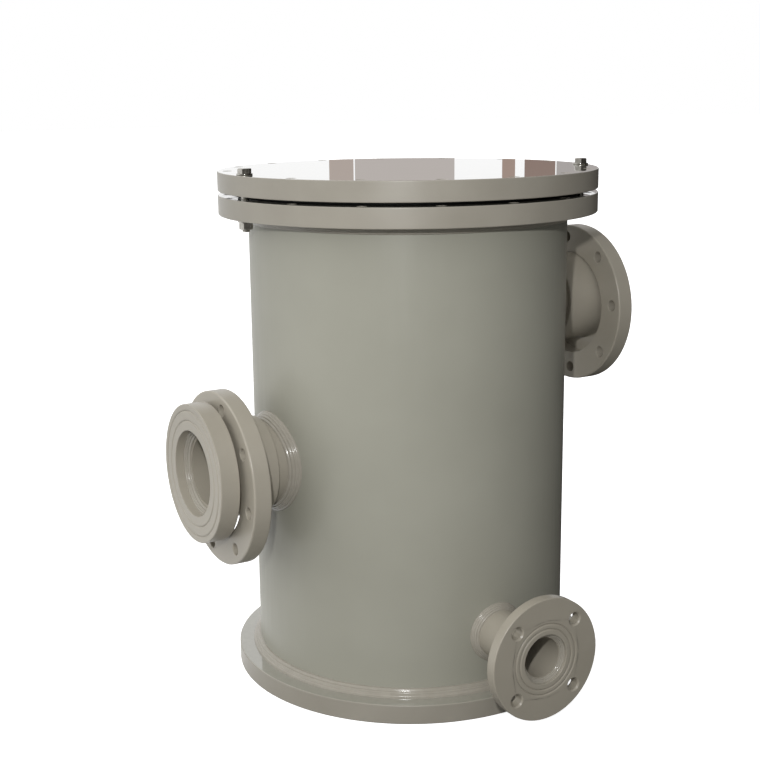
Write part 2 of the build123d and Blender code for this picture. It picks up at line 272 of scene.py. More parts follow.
def addNode(tree, kind, settings=None, links=None):
    # adds a node; settings are its properties or socket values, links feed its sockets from other nodes
    node = tree.nodes.new(kind)
    for key, value in (settings or {}).items():
        if isinstance(key, str) and hasattr(node, key) and key not in node.inputs:
            setattr(node, key, value)
        else:
            node.inputs[key].default_value = value
    for key, source in (links or {}).items():
        tree.links.new(source, node.inputs[key])
    return node


def newMaterial(name, baseHex, roughness, ior=1.49, metallic=0.0):
    # the last value returned links a pattern to the piece's own coordinates, in metres
    material = bpy.data.materials.new(name)
    material.use_nodes = True
    tree = material.node_tree
    shader = tree.nodes["Principled BSDF"]
    shader.inputs["Base Color"].default_value = linear(baseHex)
    shader.inputs["Roughness"].default_value = roughness
    shader.inputs["Metallic"].default_value = metallic
    if metallic < 0.5:
        shader.inputs["IOR"].default_value = ior
    coords = addNode(tree, "ShaderNodeTexCoord")
    return material, tree, shader, {"Vector": coords.outputs["Object"]}


def perMetre(sizeMm):
    # pattern scale for a feature size in millimetres, on coordinates in metres
    return 1000.0 / sizeMm


def pick(tree, factor, plainColour, seenColour):
    # one of two colours by a factor; each is a socket or a constant
    mix = addNode(tree, "ShaderNodeMix", {"data_type": "RGBA"}, {0: factor})
    for socket, colour in ((6, plainColour), (7, seenColour)):
        if isinstance(colour, tuple):
            mix.inputs[socket].default_value = colour
        else:
            tree.links.new(colour, mix.inputs[socket])
    return mix.outputs[2]


noiseSpan = {"From Min": 0.3, "From Max": 0.7}      # where most of a noise pattern's values lie


def tint(tree, shader, noise, darkHex, lightHex):
    # base colour between two tones, by a pattern
    share = addNode(tree, "ShaderNodeMapRange", noiseSpan, {"Value": noise.outputs["Fac"]})
    colour = pick(tree, share.outputs[0], linear(darkHex), linear(lightHex))
    tree.links.new(colour, shader.inputs["Base Color"])


def vary(tree, shader, noise, s):
    # roughness from below to above a finish's value, by a pattern
    below, above = s["spread"]
    span = dict(noiseSpan, **{"To Min": s["roughness"] - below, "To Max": s["roughness"] + above})
    rough = addNode(tree, "ShaderNodeMapRange", span, {"Value": noise.outputs["Fac"]})
    tree.links.new(rough.outputs[0], shader.inputs["Roughness"])


def bump(tree, shader, noises, reliefMm):
    # adds relief from patterns, each with its height in millimetres
    last = None
    for noise, height in zip(noises, reliefMm):
        settings = {"Strength": 1.0, "Distance": height * mm}
        node = addNode(tree, "ShaderNodeBump", settings, {"Height": noise.outputs["Fac"]})
        if last is not None:
            tree.links.new(last, node.inputs["Normal"])
        last = node.outputs["Normal"]
    tree.links.new(last, shader.inputs["Normal"])


sheetFinish = {"dark": "#9a998d", "light": "#a09f93", "roughness": 0.36, "spread": (0.04, 0.06),
               "drawn": 0.05, "cloudMm": 170, "marksMm": 7, "grainMm": 1.6, "reliefMm": (0.01, 0.03, 0.4)}

def makeSheetFinish(name, s):
    # polypropylene sheet rolled into a tube, and drawn pipe: satin, with faint clouding, draw marks and grain
    material, tree, shader, place = newMaterial(name, s["light"], s["roughness"])
    stretch = addNode(tree, "ShaderNodeMapping", {"Scale": (1.0, 1.0, s["drawn"])}, place)
    drawn = {"Vector": stretch.outputs[0]}
    cloud = addNode(tree, "ShaderNodeTexNoise", {"Scale": perMetre(s["cloudMm"]), "Detail": 3.0}, place)
    marks = addNode(tree, "ShaderNodeTexNoise", {"Scale": perMetre(s["marksMm"]), "Detail": 4.0}, drawn)
    grain = addNode(tree, "ShaderNodeTexNoise", {"Scale": perMetre(s["grainMm"]), "Detail": 2.0}, place)
    tint(tree, shader, cloud, s["dark"], s["light"])
    vary(tree, shader, marks, s)
    bump(tree, shader, (grain, marks, cloud), s["reliefMm"])
    return material


skinFinish = {"dark": "#97958a", "light": "#9c9a8f", "roughness": 0.003, "waveMm": 60, "scuffMm": 9,
              "reliefMm": (0.03, 0.002)}


def makeSkinFinish(s):
    # rolled skin of polypropylene plate: a slightly wavy mirror, with light scuffs in its colour
    material, tree, shader, place = newMaterial("PolypropylenePlateSkin", s["light"], s["roughness"])
    wave = addNode(tree, "ShaderNodeTexNoise", {"Scale": perMetre(s["waveMm"]), "Detail": 2.0}, place)
    scuff = addNode(tree, "ShaderNodeTexNoise", {"Scale": perMetre(s["scuffMm"]), "Detail": 5.0}, place)
    tint(tree, shader, scuff, s["dark"], s["light"])
    shader.inputs["Coat Weight"].default_value = 1.0
    shader.inputs["Coat Roughness"].default_value = s["roughness"]
    bump(tree, shader, (wave, scuff), s["reliefMm"])
    return material


# tones by axis: X copy (collars, rings) is painted sheen, lighter; Z copy (plates) is painted shade, darker
turnedFinish = {"roughness": 0.33, "spread": (0.04, 0.05), "cloudMm": 80, "toolMm": 2.4, "squeeze": 0.02,
                "reliefMm": (0.01, 0.15), "dark": {"X": "#a39d90", "Y": "#9a9487", "Z": "#959085"},
                "light": {"X": "#aaa497", "Y": "#a19b8e", "Z": "#9c978c"}}


def makeTurnedFinish(s, axis):
    # turned polypropylene: satin, with faint tool marks that run round the axis, drawn coarser than the real
    # 0.3 mm feed so that they show; each axis's tone is painted sheen or painted shade
    name = "PolypropyleneTurned" + axis
    material, tree, shader, place = newMaterial(name, s["light"][axis], s["roughness"])
    scale = [1.0 if letter == axis else s["squeeze"] for letter in "XYZ"]
    squeeze = addNode(tree, "ShaderNodeMapping", {"Scale": scale}, place)
    lathe = {"Vector": squeeze.outputs[0]}
    cloud = addNode(tree, "ShaderNodeTexNoise", {"Scale": perMetre(s["cloudMm"]), "Detail": 3.0}, place)
    tool = addNode(tree, "ShaderNodeTexNoise", {"Scale": perMetre(s["toolMm"]), "Detail": 1.0}, lathe)
    # the painted sheen of the X copy and the painted shade of the Z copy come in with these tones
    tint(tree, shader, cloud, s["dark"][axis], s["light"][axis])
    vary(tree, shader, cloud, s)
    bump(tree, shader, (tool, cloud), s["reliefMm"])
    return material


# hot-gas weld rod in the same plastic: melted skin, so glossier, with slow ripples
weldFinish = {"dark": "#9a958a", "light": "#a09b90", "roughness": 0.17, "spread": (0.02, 0.03), "ior": 1.49,
              "metallic": 0.0, "patternMm": 14, "detail": 2.0, "reliefMm": (0.02,)}
# black rubber sheet, cut with a knife: matt with fine grit
sealFinish = {"dark": "#0d0d0d", "light": "#1b1b1a", "roughness": 0.6, "spread": (0.0, 0.0), "ior": 1.52,
              "metallic": 0.0, "patternMm": 1.2, "detail": 2.0, "reliefMm": (0.06,)}
# plain stainless fastener: cold forged, with faint smears
steelFinish = {"dark": "#a5a29b", "light": "#c3c1bb", "roughness": 0.09, "spread": (0.05, 0.12), "ior": 1.49,
               "metallic": 1.0, "patternMm": 4, "detail": 4.0, "reliefMm": (0.02,)}


def makePatternFinish(name, s):
    # one pattern shifts the colour between two tones, varies the roughness and gives the relief
    material, tree, shader, place = newMaterial(name, s["light"], s["roughness"], s["ior"], s["metallic"])
    scale = {"Scale": perMetre(s["patternMm"]), "Detail": s["detail"]}
    pattern = addNode(tree, "ShaderNodeTexNoise", scale, place)
    tint(tree, shader, pattern, s["dark"], s["light"])
    vary(tree, shader, pattern, s)
    bump(tree, shader, (pattern,), s["reliefMm"])
    return material


sheetMaterial = makeSheetFinish("PolypropyleneSheet", sheetFinish)
pipeMaterial = makeSheetFinish("PolypropylenePipe", dict(sheetFinish, dark="#9b9588", light="#a29c8f"))
skinMaterial = makeSkinFinish(skinFinish)
turnedMaterial = {axis: makeTurnedFinish(turnedFinish, axis) for axis in "XYZ"}
plateMaterial = turnedMaterial["Z"]
weldMaterial = makePatternFinish("PolypropyleneWeld", weldFinish)
sealMaterial = makePatternFinish("RubberSheet", sealFinish)
steelMaterial = makePatternFinish("StainlessSteel", steelFinish)
slotMaterials = {"plate": plateMaterial, "shell": sheetMaterial, "pipe": pipeMaterial, "weld": weldMaterial,
                 "basket": plateMaterial, "seal": sealMaterial, "steel": steelMaterial}
slotOf = {s["node"]: s["material_slot"] for s in frame["record"]["subparts"]}
for name, node in frame["nodes"].items():
    node.data.materials.clear()
    node.data.materials.append(slotMaterials[slotOf[name]])
print("materials made")


# Vessel shell

nozzles = {
    "inlet": {"angle": 0.0, "pipeWall": 13.0, "collar": 14.0, "ringTurn": -4.0, "leg": 13.0, "innerLeg": 9.0},
    "outlet": {"angle": math.pi, "pipeWall": 13.0, "collar": 30.0, "ringTurn": -13.5, "leg": 13.0,
               "innerLeg": 9.0},
    "drain": {"angle": 1.5 * math.pi, "pipeWall": 7.0, "leg": 9.0, "innerLeg": 6.0},
}
for name, n in nozzles.items():
    low, high = cad(name + "_pipe")
    n["height"], n["pipeR"] = (low[2] + high[2]) / 2, (high[2] - low[2]) / 2
    n["boreR"] = n["pipeR"] - n["pipeWall"]
    n["place"] = nozzlePlace(name + "_pipe", n["height"])


shellMesh = {"columns": 192, "margin": 14.0, "footLand": 3.0, "row": 12.0, "tuck": 0.3,
             "shares": (0.0, 0.35, 0.7, 1.0)}


def shellSkin(radius, low, high, flip, s=shellMesh):
    # The tube unrolled to (distance round, height). A plain grid, less one block round each nozzle, where
    # rings of points pass from the block's four-sided edge to the hole, as (1 - t) edge + t hole, and then
    # rolled up again.
    count = s["columns"]
    cell = turn * radius / count
    blocks, lines = [], {low, high}
    for n in nozzles.values():
        halfCells = int(math.ceil((n["pipeR"] + s["margin"]) / cell))
        middle = int(round(n["angle"] / turn * count))
        lowZ, highZ = n["height"] - halfCells * cell, n["height"] + halfCells * cell
        lowZ = max(lowZ, low + s["footLand"])
        blocks.append((n, middle, halfCells, lowZ, highZ))
        lines |= set(np.linspace(lowZ, highZ, 2 * halfCells + 1))
    z = sorted(lines)
    filled = [z[0]]
    for a, b in zip(z[:-1], z[1:]):
        pieces = max(1, int(round((b - a) / s["row"])))
        filled += list(np.linspace(a, b, pieces + 1)[1:])
    z = np.array(filled)
    column, height = np.meshgrid(np.arange(count), z)
    points = onCircle(radius, column / count * turn, height)
    faces = gridFaces(len(z), count, wrapColumns=True)
    rowOf, columnOf = faces[:, 0] // count, faces[:, 0] % count
    keep = np.ones(len(faces), bool)
    patches = []
    for n, middle, halfCells, lowZ, highZ in blocks:
        first, last = np.argmin(abs(z - lowZ)), np.argmin(abs(z - highZ))
        offset = (columnOf - (middle - halfCells)) % count
        keep &= ~((offset < 2 * halfCells) & (rowOf >= first) & (rowOf < last))
        edge = blockEdge(np.arange(-halfCells, halfCells + 1) * cell, z[first:last + 1])
        spin = np.arctan2(edge[:, 1] - n["height"], edge[:, 0])
        holeR = n["pipeR"] - s["tuck"] if flip else (n["pipeR"] + n["boreR"]) / 2
        across = radius * np.arcsin(holeR * np.cos(spin) / radius)
        hole = np.stack([across, n["height"] + holeR * np.sin(spin)], 1)
        flat = np.stack([edge * (1 - t) + hole * t for t in s["shares"]])
        block = onCircle(radius, middle / count * turn + flat[..., 0] / radius, flat[..., 1])
        patches.append(grid(block, wrapColumns=True, flip=flip))
    kept = faces[keep]
    patches.append((points.reshape(-1, 3), kept[:, ::-1] if flip else kept))
    return patches


def makeShell():
    low, high = shellLow[2], shellHigh[2]
    patches = shellSkin(shellR, low, high, False) + shellSkin(shellInnerR, low, high, True)
    for z, flip in ((high, False), (low, True)):
        patches.append(turned(np.array([(shellR, z), (shellInnerR, z)]), shellMesh["columns"], flip))
    return dress(makeMesh("vessel_tube", patches), "vessel", sheetMaterial, "shell", "vessel_shell")


makeShell()
print("shell made")


# Round plates

def skinFaces(piece, upright=0.98):
    # the flat faces of a plate keep its rolled skin; its edge and holes are cut
    count = len(piece.data.polygons)
    normals = np.zeros(count * 3, np.float32)
    piece.data.polygons.foreach_get("normal", normals)
    piece.data.materials.append(skinMaterial)
    flat = abs(normals.reshape(-1, 3)[:, 2]) > upright
    piece.data.polygons.foreach_set("material_index", flat.astype(np.int32))
    return piece


lidHoles = {"count": 16, "boltR": 280.0, "holeR": 7.0, "turn": 0.0, "mouth": 0.6}
plateShape = {"baseEdge": 1.6, "edge": 1.4, "columns": 192}
gasketShape = {"inset": 4.0, "edge": 1.2, "boreEdge": 0.5, "columns": 160}


def makeBasePlate(s=plateShape):
    r, top = (plateHigh[0] - plateLow[0]) / 2, plateHigh[2]
    path = roundCorners([(0, 0), (r, 0), (r, top), (0, top)], [0, s["baseEdge"], s["baseEdge"], 0])
    piece = makeMesh("bottom_plate", [turned(path, s["columns"])])
    return skinFaces(dress(piece, "vessel", plateMaterial, "plate", "base_plate"))


def makeDrilledRound(name, node, body, boreR, s=plateShape):
    low, high = cad(node)
    patches = drilledPlate((high[0] - low[0]) / 2, boreR, low[2], high[2], lidHoles, s["edge"])
    return skinFaces(dress(makeMesh(name, patches), body, plateMaterial, "plate", node))


def makeGasket(s=gasketShape):
    low, high = cad("lid_gasket")
    outer, inner = (high[0] - low[0]) / 2, shellInnerR + s["inset"]
    a, b = low[2], high[2]
    half = (a + b) / 2
    corners = [(inner, half), (inner, a), (outer, a), (outer, b), (inner, b), (inner, half)]
    path = roundCorners(corners, [0, s["boreEdge"], s["edge"], s["edge"], s["boreEdge"], 0], 3)
    piece = makeMesh("gasket_ring", [turned(path, s["columns"])])
    return dress(piece, "vessel", sealMaterial, "seal", "lid_gasket")


makeBasePlate()
makeDrilledRound("top_flange", "body_flange", "vessel", shellR)
makeDrilledRound("lid_plate", "lid", "lid", 0.0)
makeGasket()
print("plates made")


# Nozzles

stubShape = {"neckStep": 9.0, "ringGap": 13.0, "grooveInsets": (10.0, 25.0), "edge": 1.4, "startEdge": 2.0,
             "fillet": 3.0, "mouthEdge": 0.8, "ringEdge": 2.6}
ringHoles = {"count": 8, "boltR": 112.5, "holeR": 9.0, "mouth": 0.9}
drainShape = {"faceR": 60.0, "grooves": (53.8, 46.0), "edge": 1.4, "boreEdge": 1.0}
drainHoles = {"count": 4, "boltR": 72.5, "holeR": 9.0, "turn": 45.0, "mouth": 2.2, "band": 13.0}


def makePipe(name, n, end, columns=96):
    # a round pipe whose inner end is cut to the shell's inner face: the end's height follows a square root
    angle = np.arange(columns) / columns * turn
    rows = []
    for r in (n["boreR"], n["pipeR"]):
        start = np.sqrt(shellInnerR ** 2 - (r * np.sin(angle)) ** 2)
        rows.append([onCircle(r, angle, start * (1 - t) + end * t) for t in (0.0, 0.5, 1.0)])
    patch = grid(np.stack(rows[0] + rows[1][::-1]), wrapRows=True, wrapColumns=True, flip=True)
    piece = makeMesh(name + "_tube", [patch], n["place"])
    return dress(piece, "vessel", pipeMaterial, "pipe", name + "_pipe")


def makeStubEnd(name, n, start, reach, s=stubShape):
    # neck and collar in one turning, from the neck's inner end to the grooved face
    low, high = cad(name + "_stub_end")
    collarR, neckR, socketR = (high[2] - low[2]) / 2, n["pipeR"] + s["neckStep"], n["pipeR"]
    face = groovedFace(collarR, socketR, reach, [collarR - inset for inset in s["grooveInsets"]])
    back = reach - n["collar"]
    corners = [(socketR, start), (neckR, start), (neckR, back), (collarR, back)] + face + [(socketR, start)]
    flat = [0] * (len(face) - 2)
    radii = [0, s["startEdge"], s["fillet"], s["edge"], s["edge"]] + flat + [s["mouthEdge"], 0]
    piece = makeMesh(name + "_collar", [turned(roundCorners(corners, radii))], n["place"])
    return dress(piece, "vessel", turnedMaterial["X"], "plate", name + "_stub_end")


def makeBackingRing(name, n, s=stubShape):
    low, high = cad(name + "_backing_ring")
    centre = (low + high) / 2
    back, front = np.sort(np.abs([low[0], high[0]]))
    outerR, boreR = (high[2] - low[2]) / 2, n["pipeR"] + s["neckStep"] + s["ringGap"]
    patches = drilledPlate(outerR, boreR, back, front, dict(ringHoles, turn=n["ringTurn"]), s["ringEdge"])
    piece = makeMesh(name + "_loose_ring", patches, nozzlePlace(name + "_pipe", centre[2]))
    return dress(piece, name + "_ring", turnedMaterial["X"], "plate", name + "_backing_ring")


def makeDrainFlange(n, s=drainShape):
    low, high = cad("drain_flange")
    back, front, outerR = -high[1], -low[1], (high[0] - low[0]) / 2
    top = groovedFace(s["faceR"], n["pipeR"], front, s["grooves"])[1:-1]
    patches = drilledPlate(outerR, n["pipeR"], back, front, drainHoles, s["edge"], top, s["boreEdge"])
    piece = makeMesh("drain_face_flange", patches, n["place"])
    return dress(piece, "vessel", turnedMaterial["Y"], "plate", "drain_flange")


pipeEnd = {"inlet": cad("inlet_pipe")[1][0], "outlet": -cad("outlet_pipe")[0][0],
           "drain": -cad("drain_pipe")[0][1]}
for name, n in nozzles.items():
    makePipe(name, n, pipeEnd[name])
for name in ("inlet", "outlet"):
    low, high = cad(name + "_stub_end")
    neckStart, faceReach = np.sort(np.abs([low[0], high[0]]))
    makeStubEnd(name, nozzles[name], neckStart, faceReach)
    makeBackingRing(name, nozzles[name])
makeDrainFlange(nozzles["drain"])
print("nozzles made")


# Welds

# waves are (count round the ring, size), ripples (length in millimetres, size)
weldRuns = {"perRun": 8, "crown": 0.432, "swell": 0.12, "softness": 0.15, "life": 0.25,
            "waves": ((7, 0.5), (13, 0.35), (23, 0.25)), "ripples": ((9, 0.2), (5.3, 0.16))}


def weldSection(leg, runs, s=weldRuns):
    # across a fillet from one leg's tip to the other, as (along leg, up leg): each run's crown is |sin| of
    # the way across it, with the crease between two runs rounded off as sqrt(sin squared + softness) does,
    # and the whole swells by one more sin
    t = np.linspace(0, 1, runs * s["perRun"] + 1)
    wave = np.sqrt(np.sin(math.pi * t * runs) ** 2 + s["softness"]) - math.sqrt(s["softness"])
    out = (wave * leg / runs * s["crown"] + s["swell"] * leg * np.sin(math.pi * t)) / math.sqrt(2)
    return leg * (1 - t) + out, leg * t + out


def weldLife(angle, length, seed, s=weldRuns):
    # slow wander and fine ripple along a run, in millimetres; sums of sines, so that the ring closes
    rng = np.random.default_rng(seed)
    total = np.zeros_like(angle)
    ripples = [(int(length / every), size) for every, size in s["ripples"]]
    for waves, size in [*s["waves"], *ripples]:
        total += size * np.sin(angle * waves + rng.uniform(0, turn))
    return total * s["life"]


def weldRows(footR, leg, runs, spacing, seed):
    # the section at each angle round a circle, livelier where it bulges, closed by a row in the corner itself
    columns = int(turn * footR / spacing)
    angle = np.arange(columns) / columns * turn
    across, up = weldSection(leg, runs)
    bulge = np.sqrt(np.maximum((across + up) / leg - 1, 0))[:, None]
    life = bulge * weldLife(angle, turn * footR, seed)
    across, up = [np.concatenate([leg[:, None] + life, np.zeros((1, columns))]) for leg in (across, up)]
    return angle, across, up


def ringWeld(cornerR, cornerZ, leg, awayR, awayZ, seed, runs=3, spacing=3.0):
    # weld round a circle: the section stands on the corner where two round faces meet
    angle, across, up = weldRows(cornerR, leg, runs, spacing, seed)
    points = onCircle(cornerR + awayR * across, angle, cornerZ + awayZ * up)
    return [grid(points, wrapRows=True, wrapColumns=True, flip=awayR * awayZ < 0)]


def saddleWeld(pipeR, leg, seed, runs=4, spacing=2.5):
    # weld where a pipe meets the round shell: the section's foot runs over the shell away from the pipe,
    # and its height is along the pipe, so that it rises and falls with the shell's curve
    angle, across, up = weldRows(pipeR, leg, runs, spacing, seed)
    r = pipeR + across
    points = onCircle(r, angle, np.sqrt(shellR ** 2 - (r * np.sin(angle)) ** 2) + up)
    return [grid(points, wrapRows=True, wrapColumns=True)]


def makeBead(name, node, patches, place=None):
    return dress(makeMesh(name, patches, place), "vessel", weldMaterial, "weld", node)


vesselLeg, seatLeg = 12.0, 8.0
makeBead("bottom_bead", "base_weld", ringWeld(shellR, plateHigh[2], vesselLeg, 1, 1, seed=1))
makeBead("flange_bead", "flange_weld", ringWeld(shellR, flangeLow[2], vesselLeg, 1, -1, seed=2))
for number, (name, n) in enumerate(nozzles.items()):
    saddle = saddleWeld(n["pipeR"], n["leg"], seed=10 + number)
    makeBead(name + "_bead", name + "_weld", saddle, n["place"])
    inner = ringWeld(n["pipeR"], pipeEnd[name], n["innerLeg"], -1, 1, seed=20 + number, spacing=2.0)
    makeBead(name + "_inner_bead", name + "_inner_weld", inner, n["place"])
print("welds made")


# Lid fasteners

fastener = {"flats": 18.0, "head": 7.5, "shankR": 5.95, "pitch": 1.75, "depth": 0.95, "threaded": 34.0,
            "point": 1.1, "chamfer": 0.95, "nutBore": 6.1, "washerBore": 6.5, "sharpAbove": 25,
            "pointHeight": 1.0, "washerEdges": (0, 0.5, 0.5, 0.3, 0), "twist": {"left": 0.3, "right": -0.2}}


def hexagonSolid(low, high, boreR, lowCut, highCut, columns=72):
    # a hexagon prism, its edge at half the flats over the cosine of the angle from a flat's middle; its cut
    # ends follow a 30 degree cone: height falls by (radius - circle) tan 30
    angle = np.arange(columns) / columns * turn
    edge = fastener["flats"] / 2 / np.cos((angle + math.pi / 6) % (math.pi / 3) - math.pi / 6)
    circle = fastener["flats"] / 2 * fastener["chamfer"]
    drop = (edge - circle) * math.tan(math.radians(30))
    ring, bore = np.full(columns, circle), np.full(columns, boreR)
    rows = [(bore, low), (ring if lowCut else edge, low), (edge, low + drop * lowCut),
            (edge, high - drop * highCut), (ring if highCut else edge, high), (bore, high)]
    points = [onCircle(r, angle, z) for r, z in rows]
    return grid(np.stack(points), wrapRows=boreR > 0, wrapColumns=True)


def threadedShank(low, high, threadTop, columns=48, perTurn=8, s=fastener):
    # a V thread: the radius falls in a triangle wave of (height / pitch - angle / turn); plain shank above it
    z = np.arange(low + s["pointHeight"], threadTop, s["pitch"] / perTurn)
    z = np.concatenate([z, [threadTop, high]])[:, None]
    angle = (np.arange(columns) / columns * turn)[None, :]
    wave = abs(((z / s["pitch"] - angle / turn) % 1.0) * 2 - 1)
    fade = np.clip((threadTop - z) / s["pitch"], 0, 1)
    r = s["shankR"] - s["depth"] * wave * fade
    r = np.concatenate([np.zeros((1, columns)), np.full((1, columns), s["shankR"] - s["point"]), r])
    z = np.concatenate([[[low]], [[low]], z])
    return grid(onCircle(r, angle, z), wrapColumns=True)


def makeWasher(name, body, node, place):
    low, high = cad(node)
    r, boreR = (high[0] - low[0]) / 2, fastener["washerBore"]
    corners = [(boreR, low[2]), (r, low[2]), (r, high[2]), (boreR, high[2]), (boreR, low[2])]
    path = roundCorners(corners, fastener["washerEdges"], 3)
    return dress(makeMesh(name, [turned(path, 64)], place), body, steelMaterial, "steel", node)


for side in ("left", "right"):
    low, high = cad("nut_washer_" + side)
    centre = (low + high) / 2
    heading = math.atan2(centre[1], centre[0]) + fastener["twist"][side]
    place = np.eye(4)
    place[:2, :2] = [[math.cos(heading), -math.sin(heading)], [math.sin(heading), math.cos(heading)]]
    place[:2, 3] = centre[:2] * mm
    makeWasher("washer_under_head_" + side, side + "_bolt", "bolt_washer_" + side, place)
    makeWasher("washer_over_nut_" + side, side + "_nut", "nut_washer_" + side, place)
    low, high = cad("lid_bolt_" + side)
    seat = high[2] - fastener["head"]
    head = hexagonSolid(seat, high[2], 0.0, 0, 1)
    shank = threadedShank(low[2], seat, low[2] + fastener["threaded"])
    bolt = makeMesh("hexagon_bolt_" + side, [head, shank], place, fastener["sharpAbove"])
    dress(bolt, side + "_bolt", steelMaterial, "steel", "lid_bolt_" + side)
    low, high = cad("lid_nut_" + side)
    ring = hexagonSolid(low[2], high[2], fastener["nutBore"], 1, 1)
    nut = makeMesh("hexagon_nut_" + side, [ring], place, fastener["sharpAbove"])
    dress(nut, side + "_nut", steelMaterial, "steel", "lid_nut_" + side)
print("fasteners made")


# Basket

basketShape = {"columns": 20, "rows": 3, "slotHalf": 6.0, "endLand": 18.0, "bridge": 14.0, "across": 6,
               "up": 8, "wall": 6.0, "seatGap": 6.0, "rimEdge": 1.2, "seatEdge": 1.0, "midway": 0.6}


def makeBasketWall(s=basketShape):
    # The wall unrolled into cells, one round each slot, then rolled up. Rings of points pass from a cell's
    # edge to the slot, as (1 - t) edge + t slot, then through the wall and back to the edge on the inside.
    low, high = cad("basket_wall")
    outerR, innerR = high[0], high[0] - s["wall"]
    height = high[2] - low[2]
    length = (height - 2 * s["endLand"] - (s["rows"] - 1) * s["bridge"]) / s["rows"]
    halfCell = turn * outerR / s["columns"] / 2
    steps = [(t, outerR) for t in (0, s["midway"], 1)] + [(t, innerR) for t in (1, s["midway"], 0)]
    patches = []
    for row in range(s["rows"]):
        middle = low[2] + s["endLand"] + length / 2 + row * (length + s["bridge"])
        bottom = low[2] if row == 0 else middle - (length + s["bridge"]) / 2
        top = high[2] if row == s["rows"] - 1 else middle + (length + s["bridge"]) / 2
        x = np.linspace(-halfCell, halfCell, s["across"] + 1)
        edge = blockEdge(x, np.linspace(bottom, top, s["up"] + 1))
        slot = slotEdge(s["slotHalf"], length, middle, s["across"], s["up"])
        rings = [(edge * (1 - t) + slot * t, r) for t, r in steps]
        for column in range(s["columns"]):
            about = (column + 0.5 * (row % 2)) / s["columns"] * turn
            cell = [onCircle(r, about + p[:, 0] / outerR, p[:, 1]) for p, r in rings]
            patches.append(grid(np.stack(cell), wrapColumns=True))
    count = s["across"] * s["columns"]
    for z, start, end in ((high[2], outerR, innerR), (low[2], innerR, outerR)):
        points, faces = turned(np.array([(start, z), (end, z)]), count)
        patches.append((spun(points, turn / count * (s["across"] / 2 % 1)), faces))
    return dress(makeMesh("slotted_wall", patches), "basket", plateMaterial, "basket", "basket_wall")


def makeRing(name, node, body, slot, boreR, edge):
    # a flat turned ring, as large as its CAD node
    low, high = cad(node)
    r = (high[0] - low[0]) / 2
    corners = [(boreR, low[2]), (r, low[2]), (r, high[2]), (boreR, high[2]), (boreR, low[2])]
    piece = makeMesh(name, [turned(roundCorners(corners, [0, edge, edge, edge, 0], 3), 160)])
    return dress(piece, body, plateMaterial, slot, node)


bottomShape = {"columns": 240, "across": 8, "slots": (8, 20), "slotHalf": 5.0, "centreLand": 34.0,
               "bridge": 23.0, "land": 39.0, "margin": 12.0, "edge": 0.8, "midway": 0.6}


def makeBasketBottom(s=bottomShape):
    # A round plate with radial slots in two rings. In each sector, rings of points pass from its four-sided
    # edge to the slot, as (1 - t) edge + t slot, then through the plate and back to the edge on the
    # underside.
    low, high = cad("basket_bottom")
    plateR = (high[0] - low[0]) / 2
    length = (plateR - s["land"] - s["bridge"] - s["centreLand"]) / 2
    inner, outer = s["centreLand"] - s["margin"], plateR - s["land"] + s["margin"]
    radii = [inner, s["centreLand"] + length + s["bridge"] / 2, outer]
    steps = [(t, high[2]) for t in (0, s["midway"], 1)] + [(t, low[2]) for t in (1, s["midway"], 0)]
    patches = []
    for ring, count in enumerate(s["slots"]):
        middle = s["centreLand"] + length / 2 + ring * (length + s["bridge"])
        each, half = s["columns"] // count, math.pi / count
        out = np.linspace(radii[ring], radii[ring + 1], s["across"] + 1)
        edge = blockEdge(np.linspace(-half, half, each + 1), out)
        edge = onCircle(edge[:, 1], edge[:, 0], 0)[:, :2]
        slot = slotEdge(s["slotHalf"], length, middle, each, s["across"])[:, ::-1]
        flat = [(edge * (1 - t) + slot * t, z) for t, z in steps]
        sector = np.stack([np.column_stack([p, np.full(len(p), z)]) for p, z in flat])
        patches += [grid(spun(sector, i * 2 * half), wrapColumns=True, flip=True) for i in range(count)]
    rim = [(outer, low[2]), (plateR, low[2]), (plateR, high[2]), (outer, high[2])]
    patches.append(turned(roundCorners(rim, [0, s["edge"], s["edge"], 0], 3), s["columns"]))
    patches.append(turned(np.array([(inner, high[2]), (0, high[2])]), s["columns"]))
    patches.append(turned(np.array([(0, low[2]), (inner, low[2])]), s["columns"]))
    return dress(makeMesh("slotted_bottom", patches), "basket", plateMaterial, "basket", "basket_bottom")


bailShape = {"rodR": 9.0, "pinR": 5.0, "pinGap": 0.05, "headR": 9.0, "headHeight": 3.0, "lug": 7.0,
             "edge": 0.8, "eyeReach": 0.62, "around": 28, "along": 97, "lugSteps": 72,
             "eyeEdges": (0, 0.6, 1.6, 1.6, 0.6, 0), "pinEdges": (0, 0.6, 0, 0.6, 1.0, 0)}


def makeBail(pinZ, s=bailShape):
    # half hoop of round rod, centre + radius (cos t outwards + sin t upwards) along a half circle, with two
    # eyes
    low, high = cad("lifting_bail")
    eyeR, arcR = (high[2] - low[2]) / 2, high[0] - s["rodR"]
    lead = math.asin(eyeR * s["eyeReach"] / arcR)
    way = np.linspace(-math.pi / 2 + lead, math.pi / 2 - lead, s["along"])[:, None]
    t = (np.arange(s["around"]) / s["around"] * turn)[None, :]
    size = np.ones_like(way) * s["rodR"]
    way, size = np.concatenate([way[:1], way, way[-1:]]), np.concatenate([[[0.0]], size, [[0.0]]])
    hoop = onCircle(arcR + size * np.cos(t), way, pinZ + size * np.sin(t))
    patches = [grid(hoop, wrapColumns=True, flip=True)]
    boreR, wide = s["pinR"] + s["pinGap"], s["rodR"]
    corners = [(boreR, 0), (boreR, -wide), (eyeR, -wide), (eyeR, wide), (boreR, wide), (boreR, 0)]
    eye = turned(roundCorners(corners, s["eyeEdges"]), 64)
    patches += [onSide(eye, side * arcR, pinZ, side) for side in (1, -1)]
    return dress(makeMesh("bail_hoop", patches), "bail", plateMaterial, "basket", "lifting_bail")


